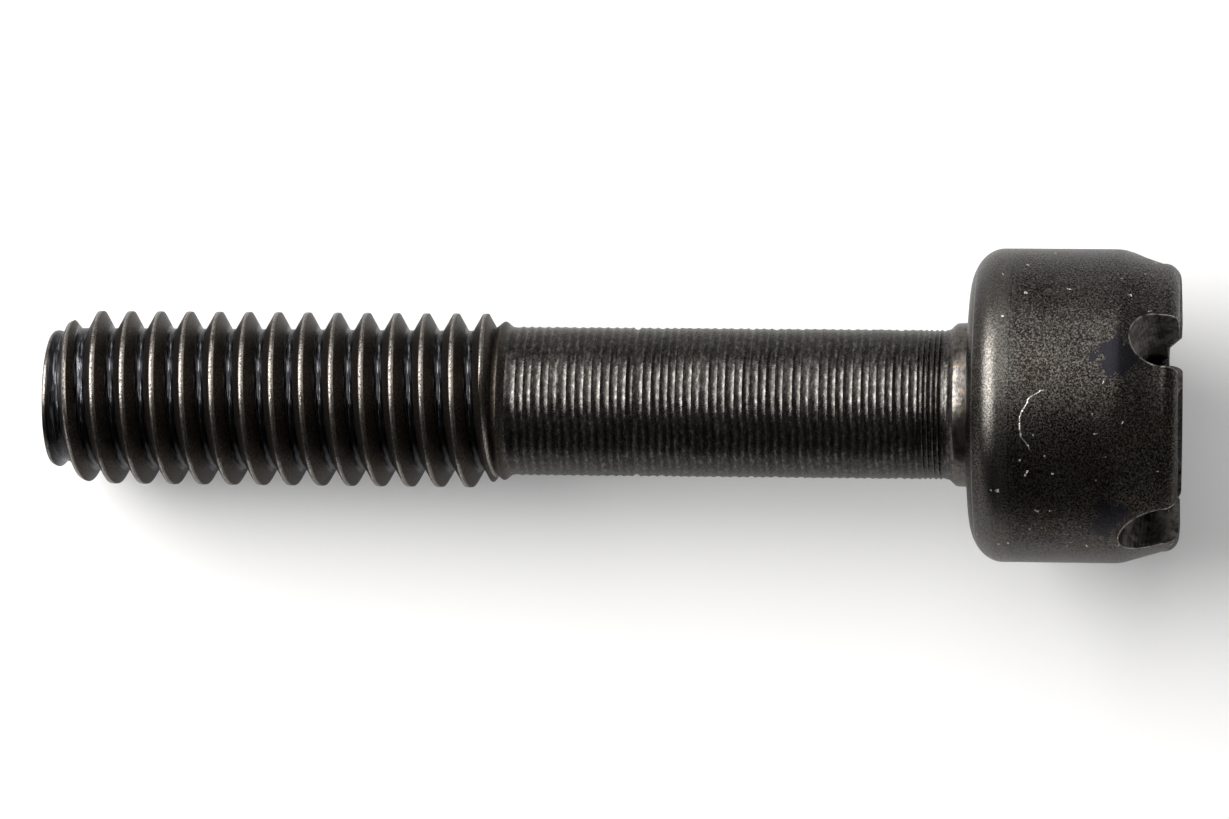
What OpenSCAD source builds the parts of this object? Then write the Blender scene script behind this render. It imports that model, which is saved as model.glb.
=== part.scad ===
// Machine screw with a castellated cylinder head, turned from one bar.
// It stands on its head: the screw's axis is Z, the lug tops lie in the plane Z = 0,
// and the collar, the plain shank and the thread point up. Sizes are in millimetres.

/* [Head] */
// Diameter of the head
head_d = 10.34; // [9.8:0.02:14]
// Height of the head, from the lug tops to the bearing face
head_h = 6.85; // [5:0.05:10]
// Diameter of the head's reduced end, round the lugs
end_d = 9.54; // [8.4:0.02:9.8]
// Height of the reduced end
end_h = 0.55; // [0.5:0.05:1.5]
// Height of the taper from the reduced end to the full head
taper_h = 1.36; // [0.2:0.02:1.5]
// Radius of the rounded edge of the lug tops
end_round = 0.5; // [0.1:0.05:0.5]
// Diameter of the flat bearing face under the head
seat_d = 7.54; // [6.2:0.02:9]
// Height of the rounded shoulder beside the bearing face
shoulder_h = 1.09; // [0.3:0.01:1.4]

/* [Notches] */
// Width of the ordinary notches, which have a half-round floor
notch_w = 1.84; // [1.2:0.02:2]
// Depth of the ordinary notches below the lug tops, at the rim
notch_depth = 1.55; // [1.2:0.05:2.2]
// Width of the one notch that was cut wider and deeper
deep_notch_w = 2.06; // [1.2:0.02:2.2]
// Depth of that notch, at the rim
deep_notch_depth = 1.9; // [1.2:0.05:2.4]
// Angle in degrees at which the floors of the notches fall towards the rim
notch_slope = 5; // [0:1:8]
// Diameter of the round core that the notches stop at
core_d = 4.1; // [3.2:0.05:4.8]
// Radius of the rounded edge of the core
core_round = 0.3; // [0.1:0.05:0.6]
// Depth of the dish in the end of the head
dish_depth = 0.38; // [0.1:0.02:0.8]
// Diameter of the dish at the lug tops
dish_d = 6.54; // [5.6:0.02:7.2]
// Diameter of the dish's floor
dish_floor_d = 5.16; // [4.9:0.02:5.5]

/* [Collar and shank] */
// Diameter of the collar under the head
collar_d = 5.42; // [5.1:0.02:6]
// Height of the collar above the bearing face
collar_h = 0.56; // [0.2:0.02:1.5]
// Diameter of the plain shank
shank_d = 4.92; // [4.4:0.02:5]
// Length of the plain shank, from the collar to the thread
shank_l = 14.71; // [5:0.01:30]

/* [Thread] */
// Major diameter of the thread
thread_d = 5.8; // [5.5:0.02:6.4]
// Diameter at the roots of the thread
root_d = 4.7; // [4.5:0.02:5]
// Pitch of the right-hand thread
pitch = 1; // [0.9:0.05:1.25]
// Length of the thread, from the shank to the tip
thread_l = 15.58; // [6:0.01:30]
// Length of the taper that ends the thread at the shank
relief_l = 0.95; // [0.5:0.05:2]
// Length of the taper at the tip
tip_taper_l = 1.36; // [0.5:0.02:2]
// Diameter of the tip's end face
tip_d = 4.62; // [3.6:0.02:4.7]

/* [Hidden] */
$fn = 96;

// Directions of the ordinary notches round the axis, cut by eye and so uneven
notch_angles = [-63, 0, 62, 143];
// Direction of the deeper notch
deep_notch_angle = 213;
// How far the notch cutters run past the head
overrun = 1;

// Heights of the collar's top, the thread's start and the tip
collar_z = head_h + collar_h;
thread_z = collar_z + shank_l;
tip_z = thread_z + thread_l;

// Faces round the thread, and the direction in which its helix starts
thread_sides = 48;
thread_start_angle = 79;
// Tangent of the flank's half angle, 30 degrees from the radial direction
flank_slope = tan(30);
// Crest width and the small round beside it, as shares of the pitch
crest_share = 0.13;
crest_round_share = 0.04;
// Radius to which the thread's buried end is reduced inside the shank
buried_r = min(root_d, shank_d) / 2 - 0.06;

// Points along an elliptic arc with radii rx and ry about the point c
function arc(c, rx, ry, from, to, steps) =
    [for (i = [0:steps]) let (a = from + (to - from) * i / steps) c + [rx * cos(a), ry * sin(a)]];

// Half of the turned outline, from the middle of the lug tops to the end of the shank
function turned_outline() = let (fillet = (collar_d - shank_d) / 2) concat(
    [[0, 0]],
    arc([end_d / 2 - end_round, end_round], end_round, end_round, -90, 0, 6),
    [[end_d / 2, end_h], [head_d / 2, end_h + taper_h]],
    arc([seat_d / 2, head_h - shoulder_h], (head_d - seat_d) / 2, shoulder_h, 0, 90, 12),
    [[collar_d / 2, head_h]],
    arc([shank_d / 2 + fillet, collar_z + fillet], fillet, fillet, -90, -180, 6),
    [[shank_d / 2, thread_z], [0, thread_z]]);

// One notch cutter along +X, round-bottomed, from the axis to outside the head. It is tilted
// about the point where the middle of its round floor meets the rim.
module notch(depth, width) {
    floor_z = depth - width / 2;
    reach = head_d / 2 + overrun;
    top = floor_z + overrun;
    translate([head_d / 2, 0, floor_z]) rotate([0, -notch_slope, 0]) translate([-head_d / 2, 0, 0]) {
        rotate([0, 90, 0]) cylinder(d = width, h = reach);
        translate([0, -width / 2, -top]) cube([reach, width, top]);
    }
}

// The round core that stays between the notches, with its edge rounded
module core() {
    top = max(notch_depth, deep_notch_depth) + overrun;
    rotate_extrude() polygon(concat(
        [[0, dish_depth]],
        arc([core_d / 2 - core_round, dish_depth + core_round], core_round, core_round, -90, 0, 4),
        [[core_d / 2, top], [0, top]]));
}

// Head, collar and shank, turned, then dished and notched at the lug end
module turned_body() {
    difference() {
        rotate_extrude() polygon(turned_outline());
        translate([0, 0, -overrun]) cylinder(d = dish_d, h = overrun);
        cylinder(d1 = dish_d, d2 = dish_floor_d, h = dish_depth);
        difference() {
            union() {
                for (a = notch_angles) rotate([0, 0, a]) notch(notch_depth, notch_w);
                rotate([0, 0, deep_notch_angle]) notch(deep_notch_depth, deep_notch_w);
            }
            core();
        }
    }
}

// Radius of the turned blank at a height, which limits the thread at both ends
function blank_r(z) = lookup(z, [
    [thread_z - 0.01, buried_r],
    [thread_z, root_d / 2],
    [thread_z + relief_l, thread_d / 2],
    [tip_z - tip_taper_l, thread_d / 2],
    [tip_z, tip_d / 2]]);

// The thread's section over one turn: [height from the crest's middle, radius]
function thread_section() = let (
        crest = crest_share * pitch / 2,
        round_h = crest_round_share * pitch,
        shoulder_r = thread_d / 2 - round_h,
        root = crest + round_h + (shoulder_r - root_d / 2) * flank_slope)
    [[-root, root_d / 2], [-crest - round_h, shoulder_r], [-crest, thread_d / 2],
     [crest, thread_d / 2], [crest + round_h, shoulder_r], [root, root_d / 2]];

// Right-hand thread on its core. Each column of points climbs with the helix, so that the
// last column meets the first one a whole turn higher. It starts inside the shank.
module thread() {
    section = thread_section();
    rows = len(section);
    turns = floor(thread_l / pitch) + 1;
    last_crest_z = tip_z - 0.45 * pitch;
    first_crest_z = last_crest_z - turns * pitch;
    start_z = first_crest_z - 0.55 * pitch;
    column = rows * turns + 2;

    function at(side, z, r) = let (a = 360 * side / thread_sides) [r * cos(a), r * sin(a), z];
    points = [for (side = [0:thread_sides - 1]) each concat(
        [at(side, start_z, buried_r)],
        [for (turn = [0:turns - 1], p = section)
            let (z = first_crest_z + (turn + side / thread_sides) * pitch + p[0])
            at(side, z, min(p[1], blank_r(z)))],
        [at(side, tip_z, tip_d / 2)])];

    // Two triangles between neighbouring columns, for each pair of points
    walls = [for (side = [0:thread_sides - 2], i = [0:column - 2])
        let (a = side * column + i, b = a + column)
        each [[a, a + 1, b + 1], [a, b + 1, b]]];
    // The closing column: its points meet those of the first column one turn higher
    last = (thread_sides - 1) * column;
    closing = [for (i = [1:column - 2 - rows])
        each [[last + i, last + i + 1, i + rows + 1], [last + i, i + rows + 1, i + rows]]];
    // Fans that close the helix's first and last turn at that place
    low_fan = concat([[last, last + 1, 0]], [for (i = [0:rows]) [last + 1, i + 1, i]]);
    high_fan = [for (i = [column - 1 - rows:column - 2]) [last + i, last + i + 1, column - 1]];
    ends = [[for (side = [0:thread_sides - 1]) side * column],
            [for (side = [thread_sides - 1:-1:0]) side * column + column - 1]];
    rotate([0, 0, thread_start_angle])
        polyhedron(points, concat(walls, closing, low_fan, high_fan, ends));
}

module screw() {
    color([0.22, 0.21, 0.2]) union() {
        turned_body();
        thread();
    }
}

screw();
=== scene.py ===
"""A blackened steel machine screw with a castellated cylinder head, on pale paper.

The screw stands on its head: Z is its axis, the lug tops lie at Z = 0 and the thread points up.
The camera looks along +Y and lies on its side, so that the thread points left in the picture.
"""

import functools
import math
import random
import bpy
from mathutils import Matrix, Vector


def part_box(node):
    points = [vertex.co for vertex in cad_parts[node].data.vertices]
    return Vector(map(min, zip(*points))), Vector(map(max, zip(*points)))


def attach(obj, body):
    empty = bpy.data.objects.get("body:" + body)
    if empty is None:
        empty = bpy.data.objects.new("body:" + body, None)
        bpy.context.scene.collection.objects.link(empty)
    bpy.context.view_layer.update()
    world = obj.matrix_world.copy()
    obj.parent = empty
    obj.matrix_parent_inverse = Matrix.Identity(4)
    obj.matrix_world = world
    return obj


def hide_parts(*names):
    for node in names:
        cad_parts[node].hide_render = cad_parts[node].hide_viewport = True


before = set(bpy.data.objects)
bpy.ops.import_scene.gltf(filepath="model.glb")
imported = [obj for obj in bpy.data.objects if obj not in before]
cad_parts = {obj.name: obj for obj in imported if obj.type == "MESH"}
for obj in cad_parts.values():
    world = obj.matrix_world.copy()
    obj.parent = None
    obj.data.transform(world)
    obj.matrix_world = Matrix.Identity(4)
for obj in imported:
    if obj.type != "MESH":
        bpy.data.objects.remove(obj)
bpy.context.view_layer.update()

from types import SimpleNamespace

import bpy
from mathutils import Matrix, Vector

MM = 0.001
# Points closer than this are one point
TINY = 0.0001 * MM

# Sizes of the screw in metres, the same as in the construction model
low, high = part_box("screw")
HEAD_R = (high[0] - low[0]) / 2
# The tip's end is worn back a little from its full length
TIP_Z = high[2] - 0.08 * MM
HEAD_H = 6.85 * MM
END_R = 4.77 * MM
END_H = 0.55 * MM
TAPER_H = 1.36 * MM
END_ROUND = 0.5 * MM
SEAT_R = 3.77 * MM
SHOULDER_H = 1.09 * MM
NOTCH_W = 1.84 * MM
NOTCH_DEPTH = 1.55 * MM
NOTCH_SLOPE = math.radians(5)
# Direction in degrees, width and depth at the rim of each notch; the floors fall towards the rim
NOTCHES = [(angle, NOTCH_W, NOTCH_DEPTH) for angle in (-63, 0, 62, 143)] + [(213, 2.06 * MM, 1.9 * MM)]
CORE_R = 2.05 * MM
CORE_ROUND = 0.3 * MM
DISH_DEPTH = 0.38 * MM
DISH_R = 3.27 * MM
DISH_FLOOR_R = 2.58 * MM
COLLAR_R = 2.71 * MM
COLLAR_Z = HEAD_H + 0.56 * MM
SHANK_R = 2.46 * MM
THREAD_Z = COLLAR_Z + 14.71 * MM
THREAD_R = 2.9 * MM
ROOT_R = 2.32 * MM
TIP_R = 2.24 * MM

# The thread's turns: the height at which a crest passes over the X axis, and the crest's half
# width, its round, and the round in the roots
PITCH = 1.0 * MM
CREST_PHASE_Z = 22.03 * MM
CREST_HALF = 0.065 * PITCH
CREST_ROUND = 0.04 * PITCH
ROOT_ROUND = 0.07 * PITCH
FLANK_ANGLE = math.radians(30)
# At the shank the thread runs out in a shallow groove behind a low ring
RING_R = 2.64 * MM
GROOVE_R = 2.43 * MM
GROOVE_END = 0.6 * MM
RUNOUT_START = 0.36 * MM
RUNOUT_L = 0.45 * MM
# At the tip the crests sink into the core
TIP_SINK_L = 1.3 * MM
TIP_SINK = 0.22

# Small bends of the turned outline, as offsets in mm (outwards, up) from a corner: where the
# head's taper meets its wall, the collar's foot and edge, the ring at the thread's start, and
# the groove and rim at the tip
TAPER_BEND = ((-0.03, -0.1), (-0.008, 0.06), (0, 0.25))
COLLAR_FOOT = ((0.05, 0), (0, 0.06))
COLLAR_EDGE = ((-0.02, -0.12), (-0.05, -0.05), (-0.1, -0.01))
RUNOUT_RING = ((-0.05, 0.15), (-0.01, 0.21), (0, 0.25), (-0.015, 0.29), (-0.07, 0.36))
TIP_RIM = ((-0.05, -0.62), (-0.09, -0.48), (-0.08, -0.36), (-0.02, -0.22), (0, -0.14), (-0.02, -0.04),
           (-0.06, 0))
# Two more rings of points on the head's wall, which keep its smooth shading even
WALL_RINGS = (3.6 * MM, 4.8 * MM)

# Marks left by the turning tool on the shank, closer together and deeper beside the collar
FEED = 0.28 * MM
FEED_DEPTH = 0.034 * MM
# How far the ridges between the marks stand above the shank's mean radius
FEED_RISE = 0.018 * MM
CLOSE_FEED = 0.18 * MM
CLOSE_FEED_L = 0.8 * MM
# How unlike the marks are in their spacing, depth and ridges, and how many are cut deeper
FEED_SEED = 7
FEED_SPREAD = (0.88, 1.12)
DEPTH_SPREAD = (0.7, 1.15)
RIDGE_SPREAD = (0, 0.15)
DEEPER_SHARE = 0.08
DEEPER_BY = 1.5
# The one mark that was cut much deeper
DEEP_MARK_Z = 17.9 * MM
DEEP_MARK_BY = 2.2
# Points across the hollow of a mark, as shares of its width
HOLLOW_SHARES = (0.14, 0.32, 0.5, 0.68, 0.86)

# Faces round the turned parts, the thread and a notch; the cores have one more than the thread,
# so that no edges coincide
TURN_STEPS = 144
THREAD_STEPS = 96
NOTCH_STEPS = 48
# Edges between faces that meet at less than this are shaded smooth
SMOOTH_ANGLE = math.radians(32)
# How far cutters run past what they cut, and a hair's breadth that keeps two faces apart
OVERRUN = 1.0 * MM
HAIR = 0.002 * MM
# How deep inside the shank the thread starts, and its radius there
BURIED_L = 0.5 * MM
BURIED_R = SHANK_R - 0.1 * MM

# The steel's patterns: how many of each there are to a millimetre
BLOTCHES = 0.8
STAINS = 0.9
GRAINS = 15
SPECKS = 12
# Short dashes on the shank, longer round it than along it
DASHES = (5, 5, 11)
CREST_WEAR = 16
TIP_WEAR = 9
COLLAR_WEAR_AND_SHEEN = 6
STRAW_STAINS = 5
LINE_WEAR = 4
PATCH_WAVES = 2.2
NICKS = 1.7
NICK_SHIFTS = 3
# How far the shifts move the nicks, in mm, so that they don't lie in rows
NICK_BEND = (0.6, 0.6, 0.6)
SCRATCH_WAVES = 3
NOTCH_EDGE_WEAR_AND_SHEEN = 4
NOTCH_GLINTS = 6
# How far the streaks in the roots change round the screw, per mm, and across the helix
STREAK_LENGTHS = 1.8
STREAKS = 4.5
# Half the width of the worn line on the crests and the place of its painted highlight, as angles
# of one turn of the helix
CREST_ANGLE = 0.32
HIGHLIGHT_SIDE = 0.22

# Marks on the head, in mm: smooth patches as (x, z, radius), and the circle of the long scratch,
# with the middle and half length of its arc along X, and the arc's lower end
SMOOTH_PATCHES = ((1.6, 1.95, 0.68), (-3.6, 2.2, 0.55))
SCRATCH_X = -0.62
SCRATCH_Z = 3.87
SCRATCH_R = 1.17
SCRATCH_MIDDLE = -0.47
SCRATCH_HALF = 0.95
SCRATCH_LOW_Z = 4.2
# The patches and the scratch lie on the camera's side only, past this Y in mm
FRONT_Y = -1.0
# The shoulder's rubbed zone with its painted highlight, its dark line and its ring of painted reflection,
# as heights in mm
RUBBED_SHEEN_LOW = 5.2
RUBBED_SHEEN_HIGH = 6.5
DARK_LINE_Z = 5.4
REFLECTION_RING_Z = 6.62

# Brightness that the paper has for the camera besides the light that falls on it
PAPER_LIFT = 0.25
# The share of reflections that miss the paper behind the screw and the floor
PAPER_HIDDEN = 0.25
FLOOR_HIDDEN = 0.8
# The sheets' half width, and their distances from the screw, which keep them off its surface
SHEET_HALF = 0.4
PAPER_GAP = 0.02 * MM
FLOOR_GAP = 0.01 * MM
# Strength of the room's light on the screw; the camera sees the room as white
ROOM_LIGHT = 0.05

# The photograph's view, worked out from its scale and the bulge of the tool marks
IMAGE_W = 1229
FOCAL_PIXELS = 6060
PIXELS_PER_MM = 30.1
VIEW_TILT = math.radians(6.5)
VIEW_ROLL = math.radians(0.52)
AIM_Z = 18.71 * MM
AIM_BELOW_AXIS = 0.26 * MM
SENSOR_W = 36


def deselect_all():
    """Nothing stays selected, so that an operator acts only on what is chosen next."""
    bpy.ops.object.select_all(action="DESELECT")


def arc(centre_r, centre_z, radius_r, radius_z, start, end, steps):
    """Points (r, z) along an elliptic arc, between two angles in degrees."""
    points = []
    for step in range(steps + 1):
        angle = math.radians(start + (end - start) * step / steps)
        points.append((centre_r + radius_r * math.cos(angle), centre_z + radius_z * math.sin(angle)))
    return points


def bend(corner_r, corner_z, offsets):
    """Points (r, z) at offsets in mm from a corner of an outline."""
    return [(corner_r + out * MM, corner_z + up * MM) for out, up in offsets]


def draw_outline(name, points):
    """A chain of edges in the XZ plane, drawn by extruding one vertex from point to point."""
    deselect_all()
    bpy.ops.mesh.primitive_plane_add(size=MM)
    piece = bpy.context.object
    piece.name = name
    bpy.ops.object.mode_set(mode="EDIT")
    bpy.ops.mesh.merge(type="CENTER")
    bpy.ops.transform.translate(value=(points[0][0], 0, points[0][1]))
    for (r0, z0), (r1, z1) in zip(points, points[1:]):
        bpy.ops.mesh.extrude_region_move(TRANSFORM_OT_translate={"value": (r1 - r0, 0, z1 - z0)})
    bpy.ops.object.mode_set(mode="OBJECT")
    return piece


def turn(name, points, steps):
    """A turned solid: the outline is spun round the Z axis and its seam is merged."""
    piece = draw_outline(name, points)
    bpy.ops.object.mode_set(mode="EDIT")
    bpy.ops.mesh.select_all(action="SELECT")
    bpy.ops.mesh.spin(steps=steps, angle=2 * math.pi, center=(0, 0, 0), axis=(0, 0, 1))
    tidy_faces()
    bpy.ops.object.mode_set(mode="OBJECT")
    return piece


def tidy_faces():
    """In edit mode: merges double points and turns every face outwards."""
    bpy.ops.mesh.select_all(action="SELECT")
    bpy.ops.mesh.remove_doubles(threshold=5 * TINY)
    bpy.ops.mesh.normals_make_consistent(inside=False)


def cut_off(height, side):
    """In edit mode: cuts the piece level at a height, keeps what is above (1) or below (-1) it."""
    bpy.ops.mesh.select_all(action="SELECT")
    bpy.ops.mesh.bisect(plane_co=(0, 0, height), plane_no=(0, 0, side), use_fill=True,
                        clear_inner=True, threshold=TINY)


def apply_place(piece, location=(0, 0, 0), rotation=(0, 0, 0)):
    """Moves and turns a piece, and puts its new place in its mesh."""
    piece.location = location
    piece.rotation_euler = rotation
    bpy.ops.object.transform_apply(location=True, rotation=True, scale=True)


def apply_modifier(piece, kind, **settings):
    """Adds a modifier with its settings and applies it."""
    deselect_all()
    bpy.context.view_layer.objects.active = piece
    piece.select_set(True)
    modifier = piece.modifiers.new(kind.lower(), kind)
    for key, value in settings.items():
        setattr(modifier, key, value)
    bpy.ops.object.modifier_apply(modifier=modifier.name)


def combine(piece, other, operation):
    """Joins, cuts or intersects a piece with another one, which is then deleted."""
    apply_modifier(piece, "BOOLEAN", operation=operation, object=other, solver="EXACT")
    bpy.data.objects.remove(other, do_unlink=True)


def feed_marks(start_z, end_z):
    """Points up the shank: the round hollows that the turning tool left, none quite alike."""
    rng = random.Random(FEED_SEED)
    ridges = [start_z]
    while ridges[-1] < end_z - 1.5 * FEED:
        near = ridges[-1] < start_z + CLOSE_FEED_L
        ridges.append(ridges[-1] + (CLOSE_FEED if near else FEED) * rng.uniform(*FEED_SPREAD))
    ridges.append(end_z)
    ridge_r = SHANK_R + FEED_RISE
    points = []
    for z0, z1 in zip(ridges, ridges[1:]):
        depth = FEED_DEPTH * rng.uniform(*DEPTH_SPREAD)
        if z0 < start_z + CLOSE_FEED_L or rng.random() < DEEPER_SHARE:
            depth *= DEEPER_BY
        if z0 <= DEEP_MARK_Z < z1:
            depth *= DEEP_MARK_BY
        points.append((ridge_r - FEED_DEPTH * rng.uniform(*RIDGE_SPREAD), z0))
        for share in HOLLOW_SHARES:
            points.append((ridge_r - depth * (1 - (2 * share - 1) ** 2), z0 + share * (z1 - z0)))
    return points[1:]


def screw_body():
    """Head, collar and shank as one turned solid, with the dish in the end of the head."""
    outline = [(0, DISH_DEPTH), (CORE_R, DISH_DEPTH), (DISH_FLOOR_R, DISH_DEPTH), (DISH_R, 0)]
    outline += arc(END_R - END_ROUND, END_ROUND, END_ROUND, END_ROUND, -90, 0, 8)
    # The taper from the reduced end to the full head, and the head's wall
    outline += [(END_R, END_H), (END_R + 0.5 * (HEAD_R - END_R), END_H + 0.5 * TAPER_H)]
    outline += bend(HEAD_R, END_H + TAPER_H, TAPER_BEND)
    outline += [(HEAD_R, ring_z) for ring_z in WALL_RINGS]
    outline += arc(SEAT_R, HEAD_H - SHOULDER_H, HEAD_R - SEAT_R, SHOULDER_H, 0, 90, 20)
    # The collar narrows a little from the head to the round corner that leads to the shank
    outline += bend(COLLAR_R, HEAD_H, COLLAR_FOOT)
    outline += bend(COLLAR_R, COLLAR_Z, COLLAR_EDGE)
    fillet = COLLAR_R - SHANK_R
    outline += arc(SHANK_R + fillet, COLLAR_Z + fillet, fillet, fillet, -110, -180, 8)[1:]
    outline += feed_marks(COLLAR_Z + fillet, THREAD_Z)
    outline += [(SHANK_R, THREAD_Z), (0, THREAD_Z)]
    return turn("screw_body", outline, TURN_STEPS)


def notch_cutter(angle, width, depth):
    """The shape that one notch takes away: a round bar to outside the head, open at the lug tops."""
    reach = HEAD_R + OVERRUN
    floor_z = depth - width / 2
    deselect_all()
    bpy.ops.mesh.primitive_cylinder_add(vertices=NOTCH_STEPS, radius=width / 2, depth=reach,
                                        location=(reach / 2 - HEAD_R, 0, 0), rotation=(0, math.pi / 2, 0))
    cutter = bpy.context.object
    bpy.ops.object.transform_apply(location=True, rotation=True, scale=True)
    bpy.ops.object.mode_set(mode="EDIT")
    cut_off(0, 1)
    bpy.ops.mesh.extrude_region_move(TRANSFORM_OT_translate={"value": (0, 0, -floor_z - OVERRUN)})
    tidy_faces()
    bpy.ops.object.mode_set(mode="OBJECT")
    # Tilted about the point where the floor meets the rim, then turned to its direction
    apply_place(cutter, location=(HEAD_R, 0, floor_z), rotation=(0, -NOTCH_SLOPE, 0))
    apply_place(cutter, rotation=(0, 0, math.radians(angle)))
    return cutter


def notch_core():
    """The round core that the notches stop at, with its edge rounded.

    It passes through a cutter's open side, so that no face of the cutter lies in the dish.
    """
    low_z, high_z = -2 * MM, 4 * MM
    outline = [(0, low_z), (CORE_R - 1.2 * CORE_ROUND, low_z)]
    outline += arc(CORE_R - CORE_ROUND, DISH_DEPTH + CORE_ROUND, CORE_ROUND, CORE_ROUND, -75, 0, 5)
    outline += [(CORE_R, high_z), (0, high_z)]
    return turn("core", outline, THREAD_STEPS + 1)


def cut_notches(body):
    """Cuts the five notches in to the round core."""
    for angle, width, depth in NOTCHES:
        cutter = notch_cutter(angle, width, depth)
        combine(cutter, notch_core(), "DIFFERENCE")
        combine(body, cutter, "DIFFERENCE")


def thread_section():
    """Points (r, z) across one turn of the thread, from root to root over the crest at z = 0."""
    slope = math.tan(FLANK_ANGLE)
    shoulder = THREAD_R - CREST_ROUND
    root_side = CREST_HALF + CREST_ROUND + (shoulder - ROOT_R - 0.5 * ROOT_ROUND) * slope
    half = [(ROOT_R, root_side + 0.7 * ROOT_ROUND), (ROOT_R + 0.5 * ROOT_ROUND, root_side),
            (shoulder, CREST_HALF + CREST_ROUND),
            (THREAD_R - 0.3 * CREST_ROUND, CREST_HALF + 0.5 * CREST_ROUND)]
    section = [(ROOT_R, -PITCH / 2)] + [(r, -z) for r, z in half] + [(THREAD_R, 0)]
    return section + [(r, z) for r, z in reversed(half)] + [(ROOT_R, PITCH / 2)]


def wound_thread():
    """The thread's section wound up the screw, level at both ends, with crests that sink at the tip."""
    first_z = CREST_PHASE_Z - 2 * PITCH
    thread = draw_outline("screw_thread", [(r, first_z + z) for r, z in thread_section()])
    turns = math.ceil((TIP_Z - first_z) / PITCH) + 1
    apply_modifier(thread, "SCREW", axis="Z", angle=2 * math.pi, screw_offset=PITCH, iterations=turns,
                   steps=THREAD_STEPS, render_steps=THREAD_STEPS, use_smooth_shade=False)
    low_end, high_end = THREAD_Z - BURIED_L, TIP_Z - HAIR
    bpy.ops.object.mode_set(mode="EDIT")
    tidy_faces()
    cut_off(low_end, 1)
    cut_off(high_end, -1)
    tidy_faces()
    bpy.ops.object.mode_set(mode="OBJECT")
    # The taper's scale is 1 at the origin, so the thread is moved there for it
    start = TIP_Z - TIP_SINK_L
    apply_place(thread, location=(0, 0, -start))
    apply_modifier(thread, "SIMPLE_DEFORM", deform_method="TAPER", deform_axis="Z", factor=-TIP_SINK,
                   limits=((start - low_end) / (high_end - low_end), 1))
    apply_place(thread, location=(0, 0, start))
    return thread


def thread_blank():
    """The turned shape that the thread's crests stay inside, which lets them rise from the groove."""
    proud_r = THREAD_R + 0.05 * MM
    past_tip = TIP_Z + 0.5 * MM
    runout_z = THREAD_Z + RUNOUT_START
    return turn("blank", [
        (0, THREAD_Z - 0.3 * MM), (BURIED_R, THREAD_Z - 0.3 * MM), (BURIED_R, THREAD_Z + 0.3 * MM),
        (GROOVE_R - 0.01 * MM, runout_z), (proud_r, runout_z + RUNOUT_L),
        (proud_r, past_tip), (0, past_tip)], THREAD_STEPS)


def thread_core():
    """The turned core under the thread, with the ring and groove at the shank and the tip's rim."""
    inside_r = ROOT_R - HAIR
    groove_z = THREAD_Z + GROOVE_END
    outline = [(0, THREAD_Z - 0.2 * MM), (BURIED_R, THREAD_Z - 0.2 * MM), (SHANK_R, THREAD_Z - 0.01 * MM)]
    outline += bend(RING_R, THREAD_Z, RUNOUT_RING)
    outline += [(GROOVE_R + 0.02 * MM, groove_z - 0.1 * MM), (GROOVE_R, groove_z)]
    outline += [(inside_r, groove_z + 0.3 * MM), (inside_r, TIP_Z - 0.95 * MM)]
    outline += bend(TIP_R, TIP_Z, TIP_RIM)
    return turn("thread_core", outline + [(0, TIP_Z)], THREAD_STEPS + 1)


def screw_thread():
    """The right-hand thread on its core."""
    thread = wound_thread()
    combine(thread, thread_blank(), "INTERSECT")
    combine(thread, thread_core(), "UNION")
    return thread


def build_screw():
    """The whole screw as one closed piece."""
    body = screw_body()
    cut_notches(body)
    combine(body, screw_thread(), "UNION")
    body.name = "machine_screw"
    body.data.name = "machine_screw"
    bpy.ops.object.mode_set(mode="EDIT")
    bpy.ops.mesh.select_all(action="SELECT")
    bpy.ops.mesh.remove_doubles(threshold=10 * TINY)
    bpy.ops.object.mode_set(mode="OBJECT")
    bpy.ops.object.shade_smooth_by_angle(angle=SMOOTH_ANGLE)
    return body


def hex_colour(text):
    """An sRGB hex value as a linear colour with alpha."""
    channels = [int(text[i:i + 2], 16) / 255 for i in (1, 3, 5)]
    return [c / 12.92 if c <= 0.04045 else ((c + 0.055) / 1.055) ** 2.4 for c in channels] + [1]


def add_node(tree, kind, *inputs, **named):
    """Adds a shader node and returns it.

    Its inputs are given in the order of its sockets or by their identifiers, which start with a
    capital, and any other name is a property. An input is a value, a socket, or a node, which
    stands for its first output.
    """
    node = tree.nodes.new("ShaderNode" + kind)
    for key, value in named.items():
        if key[0].islower():
            setattr(node, key, value)
    sockets = {socket.identifier: socket for socket in node.inputs}
    sources = list(zip(node.inputs, inputs))
    sources += [(sockets[key], value) for key, value in named.items() if key[0].isupper()]
    for socket, source in sources:
        if isinstance(source, bpy.types.Node):
            source = source.outputs[0]
        if isinstance(source, bpy.types.NodeSocket):
            tree.links.new(source, socket)
        else:
            socket.default_value = source
    return node


def overlap(node, *masks):
    """Where all the masks lie over each other, as strong as their product."""
    result = masks[0]
    for mask in masks[1:]:
        result = node("Math", result, mask, operation="MULTIPLY")
    return result


def paint(node, base, colour, *masks):
    """The base colour with another one laid over it where all the masks lie."""
    under, over = (hex_colour(c) if isinstance(c, str) else c for c in (base, colour))
    mix = node("Mix", overlap(node, *masks), A_Color=under, B_Color=over, data_type="RGBA")
    return mix.outputs[2]


def band(node, value, centre, half, soft):
    """One inside a band of values, falling to nothing past its soft edge."""
    away = node("Math", node("Math", value, centre, operation="SUBTRACT"), operation="ABSOLUTE")
    return node("MapRange", away, half, half + soft, 1, 0)


def away_from(node, spot, x, z):
    """How far a spot is, seen along Y, from a point on the front of the screw."""
    offset = node("CombineXYZ", node("Math", spot.x, x, operation="SUBTRACT"),
                  node("Math", spot.z, z, operation="SUBTRACT"))
    return node("VectorMath", offset, operation="LENGTH").outputs["Value"]


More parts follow.
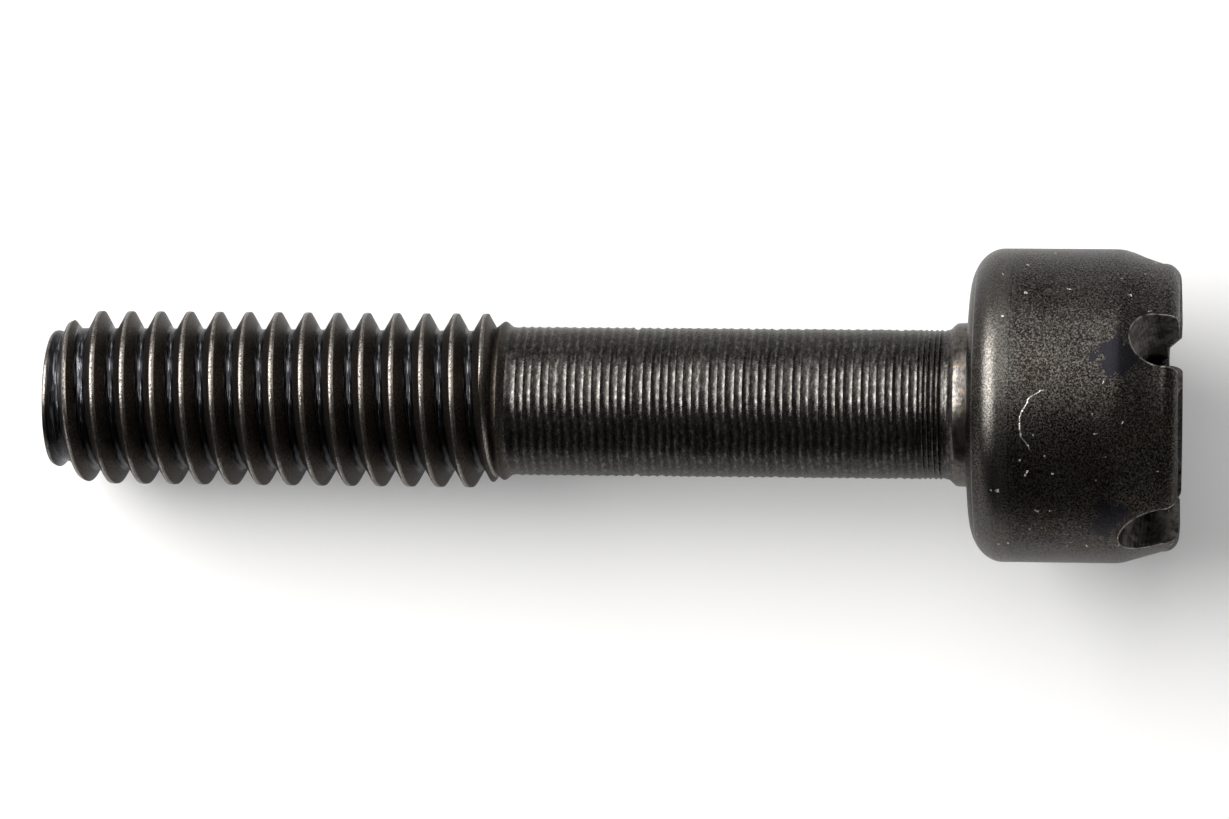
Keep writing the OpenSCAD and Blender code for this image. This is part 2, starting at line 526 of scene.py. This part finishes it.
def notch_gap(node, spot, angle, width, depth):
    """How far a spot is from one notch's walls and floor, negative inside the notch."""
    turned = node("VectorRotate", spot.mm, Angle=-math.radians(angle), rotation_type="Z_AXIS")
    out, sideways, _ = node("SeparateXYZ", turned).outputs
    slope = math.tan(NOTCH_SLOPE)
    floor_z = node("Math", node("Math", out, slope, operation="MULTIPLY"),
                   (depth - width / 2 - HEAD_R * slope) / MM, operation="ADD")
    below = node("Math", node("Math", spot.z, floor_z, operation="SUBTRACT"), 0, operation="MAXIMUM")
    across = node("CombineXYZ", node("Math", sideways, operation="ABSOLUTE"), below)
    reach = node("VectorMath", across, operation="LENGTH").outputs["Value"]
    from_walls = node("Math", reach, width / 2 / MM, operation="SUBTRACT")
    # A notch ends before the axis, so everything behind that is far away
    behind = node("MapRange", out, 1, 0.5, 0, 9)
    return node("Math", from_walls, behind, operation="ADD")


def read_spot(node):
    """What the steel knows of a spot: its place in mm, and the patterns that run all over it."""
    place = node("TexCoord")
    mm = node("VectorMath", place.outputs["Object"], Scale=1 / MM, operation="SCALE")
    x, y, z = node("SeparateXYZ", mm).outputs
    radius = node("VectorMath", node("CombineXYZ", x, y), operation="LENGTH").outputs["Value"]
    dash_place = node("VectorMath", mm, DASHES, operation="MULTIPLY")
    return SimpleNamespace(
        mm=mm, x=x, y=y, z=z, radius=radius,
        blotch=node("TexNoise", mm, Scale=BLOTCHES, Detail=4, Roughness=0.55),
        grain=node("TexNoise", mm, Scale=GRAINS, Detail=5, Roughness=0.8),
        specks=node("TexNoise", mm, Scale=SPECKS, Detail=2, Roughness=0.6),
        dash=node("TexNoise", dash_place, Scale=1, Detail=2, Roughness=0.6))


def mark_parts(node, spot):
    """Gives the spot a mask for each part of the screw, and its distance from the notches."""
    head_h, collar_z, thread_z, tip_z = (size / MM for size in (HEAD_H, COLLAR_Z, THREAD_Z, TIP_Z))
    spot.on_head = node("MapRange", spot.z, head_h + 0.1, head_h)
    spot.on_thread = node("MapRange", spot.z, thread_z + 0.03, thread_z + 0.18)
    spot.on_collar = overlap(node, node("MapRange", spot.z, head_h, head_h + 0.03),
                             node("MapRange", spot.z, collar_z + 0.01, collar_z - 0.05))
    spot.on_tip = node("MapRange", spot.z, tip_z - 0.36, tip_z - 0.26)
    at_the_ends = node("Math", spot.on_head, spot.on_thread, operation="MAXIMUM")
    spot.on_shaft = node("Math", 1, at_the_ends, operation="SUBTRACT")
    spot.in_front = node("MapRange", spot.y, FRONT_Y, FRONT_Y - 0.1)
    spot.gap = notch_gap(node, spot, *NOTCHES[0])
    for notch in NOTCHES[1:]:
        spot.gap = node("Math", spot.gap, notch_gap(node, spot, *notch), operation="MINIMUM")
    spot.in_notch = node("MapRange", spot.gap, 0.006, -0.006)


def mark_thread(node, spot):
    """Gives the spot masks for the thread's roots, flanks and worn crests, the crests' painted highlight,
    and the roots' streaks.
    """
    # How far round its turn of the helix a spot is from the crest, as an angle
    turned_by = node("Math", spot.y, spot.x, operation="ARCTAN2")
    risen = node("Math", spot.z, CREST_PHASE_Z / MM, operation="SUBTRACT")
    climbed = node("Math", risen, 2 * math.pi * MM / PITCH, operation="MULTIPLY")
    phase = node("Math", climbed, turned_by, operation="SUBTRACT")
    across = node("Math", phase, operation="COSINE")
    from_crest = node("Math", across, operation="ARCCOSINE")
    # The crests' painted highlight lies towards the side of them that faces the light
    past_highlight = node("Math", phase, HIGHLIGHT_SIDE, operation="SUBTRACT")
    from_highlight = node("Math", node("Math", past_highlight, operation="COSINE"), operation="ARCCOSINE")
    spot.bright_edge = node("MapRange", from_highlight, CREST_ANGLE, 0.5 * CREST_ANGLE)

    root_r = ROOT_R / MM
    spot.root = overlap(node, spot.on_thread, node("MapRange", spot.radius, root_r + 0.14, root_r + 0.07))
    spot.flank = overlap(node, spot.on_thread, node("MapRange", spot.radius, root_r + 0.08, root_r + 0.14))
    spot.crest = overlap(node, spot.on_thread,
                         node("MapRange", from_crest, CREST_ANGLE + 0.15, CREST_ANGLE),
                         node("MapRange", spot.radius, root_r + 0.1, root_r + 0.2))
    streak_place = node("VectorMath", node("CombineXYZ", spot.x, spot.y, across),
                        (STREAK_LENGTHS, STREAK_LENGTHS, STREAKS), operation="MULTIPLY")
    streak_turn = node("Math", node("Math", phase, operation="SINE"), STREAKS, operation="MULTIPLY")
    spot.streak = node("TexNoise", streak_place, W=streak_turn, Scale=1, Detail=3, noise_dimensions="4D")


def mark_nicks(node, spot):
    """Gives the spot a mask for the nicks: dots strewn unevenly, and one long curved scratch."""
    bent = node("TexNoise", spot.mm, Scale=NICK_SHIFTS, Detail=2).outputs["Color"]
    nick_place = node("VectorMath", bent, NICK_BEND, spot.mm, operation="MULTIPLY_ADD")
    cells = node("TexVoronoi", nick_place, Scale=NICKS)
    chosen = node("SeparateColor", cells.outputs["Color"])
    ragged = node("MapRange", spot.grain, 0.3, 0.7, -0.05, 0.05)
    from_dot = node("Math", cells.outputs["Distance"], ragged, operation="ADD")
    dots = overlap(node, node("MapRange", from_dot, 0.1, 0.06), node("MapRange", chosen, 0.36, 0.4),
                   spot.on_head)

    waves = node("TexNoise", spot.mm, Scale=SCRATCH_WAVES, Detail=3, Roughness=0.55)
    wavering = node("Math", away_from(node, spot, SCRATCH_X, SCRATCH_Z),
                    node("MapRange", waves, 0.3, 0.7, -0.07, 0.07), operation="ADD")
    scratch = overlap(node, band(node, wavering, SCRATCH_R, 0.004, 0.028),
                      node("MapRange", spot.grain, 0.4, 0.55, 0.3, 1),
                      node("MapRange", spot.z, SCRATCH_LOW_Z, SCRATCH_LOW_Z + 0.05), spot.in_front,
                      band(node, spot.x, SCRATCH_MIDDLE, SCRATCH_HALF, 0.05), spot.on_head)
    spot.nick = node("Math", dots, scratch, operation="MAXIMUM")


def head_colour(node, spot, base):
    """Brown stains, fewer towards +X, under a grain of light and dark dots."""
    stains = node("TexNoise", spot.mm, Scale=STAINS, Detail=5, Roughness=0.65)
    base = paint(node, base, "#2F261D", spot.on_head, node("MapRange", stains, 0.44, 0.58, 0.1, 0.75),
                 node("MapRange", spot.x, 2.5, 0, 0.2, 1))
    base = paint(node, base, "#7A7570", spot.on_head, node("MapRange", spot.grain, 0.5, 0.62, 0, 0.75))
    return paint(node, base, "#100F0E", spot.on_head, node("MapRange", spot.grain, 0.49, 0.38, 0, 0.95))


def shank_colour(node, spot, base):
    """Rings that are broken up by short bright and dark dashes, with painted shade in the tool's hollows.
    """
    base = paint(node, base, "#4E4B48", spot.on_shaft, 0.5)
    base = paint(node, base, "#8A8784", spot.on_shaft, node("MapRange", spot.dash, 0.5, 0.7, 0, 0.4))
    base = paint(node, base, "#1B1816", spot.on_shaft, node("MapRange", spot.dash, 0.46, 0.34, 0, 0.5))
    # Painted shade: the tool's hollows are darkened where shade falls in them
    hollow = node("MapRange", spot.radius, SHANK_R / MM + 0.003, SHANK_R / MM - 0.012)
    return paint(node, base, "#1B1917", spot.on_shaft, hollow, 0.55)


def thread_colour(node, spot, base):
    """Dark flanks, roots with streaks along the helix that are partly painted sheen, and crests worn to
    bare steel with a painted highlight along one edge.
    """
    flank = paint(node, "#2E2925", "#5A544E", node("MapRange", spot.grain, 0.45, 0.65))
    base = paint(node, base, flank, spot.flank)
    base = paint(node, base, "#242426", spot.root)
    # The streaks are partly painted sheen, and fainter on the side that is low in the picture, away from
    # the light: painted shade
    painted_shade_side = node("MapRange", spot.x, -1.5, -0.7, 0.35, 1)
    base = paint(node, base, "#85868B", spot.root, node("MapRange", spot.streak, 0.5, 0.62), painted_shade_side)
    # Worn crests, with a painted highlight along the edge that faces the light
    worn = paint(node, "#7A736D", "#B8B2AB", spot.bright_edge)
    wear = node("TexNoise", spot.mm, Scale=CREST_WEAR, Detail=4, Roughness=0.7)
    return paint(node, base, worn, spot.crest, node("MapRange", wear, 0.4, 0.6, 0.1, 1))


def tip_colour(node, spot, base):
    """Dull, with a worn line round the edge of the end."""
    base = paint(node, base, "#242325", spot.on_tip, 0.85)
    wear = node("TexNoise", spot.mm, Scale=TIP_WEAR, Detail=3, Roughness=0.55)
    edge = band(node, spot.z, TIP_Z / MM - 0.07, 0.03, 0.02)
    return paint(node, base, "#7D766F", edge, node("MapRange", wear, 0.35, 0.55, 0.3, 1))


def collar_colour(node, spot, base):
    """Rubbed bright, partly a painted highlight, with straw-coloured stains."""
    # Partly painted highlight: the rubbed colour also stands in for the light that the collar catches
    wear = node("TexNoise", spot.mm, Scale=COLLAR_WEAR_AND_SHEEN, Detail=4, Roughness=0.55)
    base = paint(node, base, "#6A6663", spot.on_collar, node("MapRange", wear, 0.4, 0.6, 0.1, 1))
    straw = node("TexNoise", spot.mm, Scale=STRAW_STAINS, Detail=2, Roughness=0.55)
    return paint(node, base, "#75654C", spot.on_collar, node("MapRange", straw, 0.53, 0.66, 0, 0.45))


def shoulder_colour(node, spot, base):
    """Rubbed on the round, partly a painted highlight, with a dark line at its start and a thin ring of
    painted reflection beside the seat.
    """
    # Partly painted highlight: the rubbed round is lighter where it catches the light
    base = paint(node, base, "#625F5B", node("MapRange", spot.z, RUBBED_SHEEN_LOW, RUBBED_SHEEN_LOW + 0.5),
                 node("MapRange", spot.z, RUBBED_SHEEN_HIGH, RUBBED_SHEEN_HIGH - 0.3),
                 node("MapRange", spot.grain, 0.35, 0.6, 0.2, 0.8))
    wear = node("TexNoise", spot.mm, Scale=LINE_WEAR, Detail=3, Roughness=0.55)
    base = paint(node, base, "#191715", band(node, spot.z, DARK_LINE_Z, 0.012, 0.015),
                 node("MapRange", wear, 0.4, 0.6, 0.2, 0.8))
    # Painted reflection: a thin bright ring beside the seat
    return paint(node, base, "#8A8680", band(node, spot.z, REFLECTION_RING_Z, 0.008, 0.012), spot.on_head)


def patch_colour(node, spot, base):
    """Bare dark patches with uneven edges beside two notches."""
    waves = node("TexNoise", spot.mm, Scale=PATCH_WAVES, Detail=4, Roughness=0.55)
    warp = node("MapRange", waves, 0.3, 0.7, -0.4, 0.4)
    for x, z, patch_r in SMOOTH_PATCHES:
        away = node("Math", away_from(node, spot, x, z), warp, operation="ADD")
        base = paint(node, base, "#2A292D", node("MapRange", away, patch_r, patch_r - 0.04),
                     spot.in_front, spot.on_head)
    return base


def nick_colour(node, spot, base):
    """Nicks that shine."""
    return paint(node, base, "#E4E0D8", spot.nick, 0.85)


def notch_colour(node, spot, base):
    """Painted shade in the notches, with a few painted glints, and edges that are worn bright and partly a
    painted highlight.
    """
    wear = node("TexNoise", spot.mm, Scale=NOTCH_EDGE_WEAR_AND_SHEEN, Detail=4, Roughness=0.55)
    # The notches' edges: worn, and partly a painted highlight of the edge
    base = paint(node, base, "#B5B0A9", band(node, spot.gap, 0.02, 0.014, 0.02),
                 node("MapRange", wear, 0.4, 0.6, 0.12, 1), spot.on_head)
    # Painted shade: the steel inside the notches is darkened
    base = paint(node, base, "#0D0C0B", spot.in_notch)
    # Painted glints: a few paler speckles in the shaded notches
    glints = node("TexNoise", spot.mm, Scale=NOTCH_GLINTS, Detail=4, Roughness=0.55)
    return paint(node, base, "#5E574F", spot.in_notch, node("MapRange", glints, 0.5, 0.66, 0, 0.3))


def steel_roughness(node, spot):
    """Satin all over, duller on the flanks, the tip and in the notches, and smoother where rubbed."""
    rough = node("MapRange", spot.specks, 0.3, 0.7, 0.34, 0.22)
    on_head = node("MapRange", spot.grain, 0.3, 0.7, 0.32, 0.22)
    rubbed = node("Math", node("Math", spot.crest, spot.root, operation="MAXIMUM"), spot.on_collar,
                  operation="MAXIMUM")
    for mask, value in ((spot.on_head, on_head), (spot.flank, 0.42), (spot.on_tip, 0.5), (rubbed, 0.26),
                        (spot.in_notch, 0.55)):
        rough = node("Mix", mask, A_Float=rough, B_Float=value)
    return rough


def steel_relief(node, spot):
    """Fine relief in mm: grain, specks, dashes on the shank, streaks in the roots, and the nicks."""
    outside = node("Math", 1, spot.in_notch, operation="SUBTRACT")
    height = 0
    for layer in ((spot.grain, spot.on_head, 0.006), (spot.grain, 0.002), (spot.specks, 0.004),
                  (spot.dash, spot.on_shaft, 0.006), (spot.streak, spot.root, 0.008),
                  (spot.nick, outside, -0.01)):
        height = node("Math", height, overlap(node, *layer), operation="ADD")
    return node("Bump", Strength=1, Distance=MM, Height=height)


def black_oxide_steel():
    """Blackened, oiled steel: a dark warm grey metal with a soft broken sheen.

    The head is grained, blotched and nicked, the tool's rings on the shank are broken up by specks
    and hold painted shade in their hollows, the thread's roots carry streaks along the helix that are
    partly painted sheen, and its crests and the notches' edges are worn and partly a painted highlight.
    The notches hold painted shade and glints, the shoulder and the collar a painted highlight, and
    the seat a ring of painted reflection.
    """
    material = bpy.data.materials.new("black_oxide_steel")
    material.use_nodes = True
    tree = material.node_tree
    node = functools.partial(add_node, tree)
    spot = read_spot(node)
    for mark in (mark_parts, mark_thread, mark_nicks):
        mark(node, spot)
    base = paint(node, "#262321", "#3A3836", node("MapRange", spot.blotch, 0.35, 0.65))
    for colour in (head_colour, shank_colour, thread_colour, tip_colour, collar_colour,
                   shoulder_colour, patch_colour, nick_colour, notch_colour):
        base = colour(node, spot, base)
    shader = tree.nodes["Principled BSDF"]
    shader.inputs["Metallic"].default_value = 1
    tree.links.new(base, shader.inputs["Base Color"])
    tree.links.new(steel_roughness(node, spot).outputs[0], shader.inputs["Roughness"])
    tree.links.new(steel_relief(node, spot).outputs[0], shader.inputs["Normal"])
    return material


def paper(name, hidden_share):
    """White paper, seen from its front only, which keeps the soft shadow of the screw.

    One sheet casts no shadow or bounce on the other, so that no line shows where they meet.
    Reflections miss the hidden share of it.
    """
    material = bpy.data.materials.new(name)
    material.use_nodes = True
    tree = material.node_tree
    tree.nodes.remove(tree.nodes["Principled BSDF"])
    node = functools.partial(add_node, tree)
    seen = node("LightPath").outputs
    lift = node("Emission", Strength=node("Math", seen["Is Camera Ray"], PAPER_LIFT, operation="MULTIPLY"))
    sheet = node("AddShader", node("BsdfDiffuse", hex_colour("#D4D3D2")), lift)
    passing = node("Math", seen["Is Shadow Ray"], seen["Is Diffuse Ray"], operation="MAXIMUM")
    hidden = node("Math", seen["Is Glossy Ray"], hidden_share, passing, operation="MULTIPLY_ADD")
    open_to = node("Math", node("NewGeometry").outputs["Backfacing"], hidden, operation="MAXIMUM")
    front = node("MixShader", open_to, sheet, node("BsdfTransparent"))
    tree.links.new(front.outputs[0], tree.nodes["Material Output"].inputs["Surface"])
    return material


def lay_sheet(name, facing, point, hidden_share):
    """A square sheet of the stage through a point, with its front towards a direction."""
    deselect_all()
    bpy.ops.mesh.primitive_plane_add(size=2 * SHEET_HALF)
    sheet = bpy.context.object
    sheet.name = name
    apply_place(sheet, location=point, rotation=Vector(facing).to_track_quat("Z", "Y").to_euler())
    sheet.data.materials.append(paper(name, hidden_share))


def set_stage():
    """The paper that the screw lies against in the picture, and the floor that it stands on."""
    rim = Vector((0, HEAD_R, HEAD_H - SHOULDER_H))
    crest = Vector((0, THREAD_R, TIP_Z - TIP_SINK_L))
    along = (crest - rim).normalized()
    normal = Vector((1, 0, 0)).cross(along)
    if normal.y > 0:
        normal = -normal
    lay_sheet("paper_behind", normal, rim - normal * PAPER_GAP, PAPER_HIDDEN)
    lay_sheet("pale_floor", (0, 0, 1), (0, 0, -FLOOR_GAP), FLOOR_HIDDEN)


def add_area_light(name, place, size, energy):
    """A rectangular soft light aimed at the middle of the screw."""
    deselect_all()
    bpy.ops.object.light_add(type="AREA", location=place)
    light = bpy.context.object
    light.name = name
    light.data.shape = "RECTANGLE"
    light.data.size, light.data.size_y = size
    light.data.energy = energy
    towards = Vector((0, 0, TIP_Z / 2)) - Vector(place)
    light.rotation_euler = towards.to_track_quat("-Z", "Y").to_euler()


def set_lights():
    """A large dim box above the front of the screw, a brighter one on the thread's side, a dim room."""
    add_area_light("soft_box", place=(0.42, -0.42, 0.05), size=(0.78, 0.36), energy=1.8)
    add_area_light("thread_side_box", place=(0.19, -0.36, 0.36), size=(0.55, 0.34), energy=6.5)
    world = bpy.data.worlds.new("studio")
    bpy.context.scene.world = world
    world.use_nodes = True
    tree = world.node_tree
    seen = add_node(tree, "LightPath").outputs["Is Camera Ray"]
    strength = add_node(tree, "MapRange", seen, 0, 1, ROOM_LIGHT, 1)
    background = tree.nodes["Background"]
    tree.links.new(strength.outputs[0], background.inputs["Strength"])
    background.inputs["Color"].default_value = (1, 1, 1, 1)


def set_camera():
    """A long lens at the photograph's distance, lying on its side, a little on the head's side."""
    distance = FOCAL_PIXELS / PIXELS_PER_MM * MM
    aim = Vector((-AIM_BELOW_AXIS, 0, AIM_Z))
    back = Vector((0, -math.cos(VIEW_TILT), -math.sin(VIEW_TILT)))
    right = Vector((0, 0, -1))
    right = (right - back * right.dot(back)).normalized()
    up = back.cross(right)
    right, up = (right * math.cos(VIEW_ROLL) + up * math.sin(VIEW_ROLL),
                 up * math.cos(VIEW_ROLL) - right * math.sin(VIEW_ROLL))
    data = bpy.data.cameras.new("photo_view")
    data.sensor_width = SENSOR_W
    data.lens = SENSOR_W * FOCAL_PIXELS / IMAGE_W
    data.clip_start = MM
    data.clip_end = 10
    camera = bpy.data.objects.new("photo_view", data)
    bpy.context.scene.collection.objects.link(camera)
    camera.matrix_world = Matrix.Translation(aim + back * distance) @ Matrix(
        (right, up, back)).transposed().to_4x4()
    bpy.context.scene.camera = camera


set_camera()
screw = build_screw()
screw.data.materials.clear()
screw.data.materials.append(black_oxide_steel())
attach(screw, "root")
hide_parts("screw")
set_stage()
set_lights()
bpy.context.scene.view_settings.view_transform = "Standard"
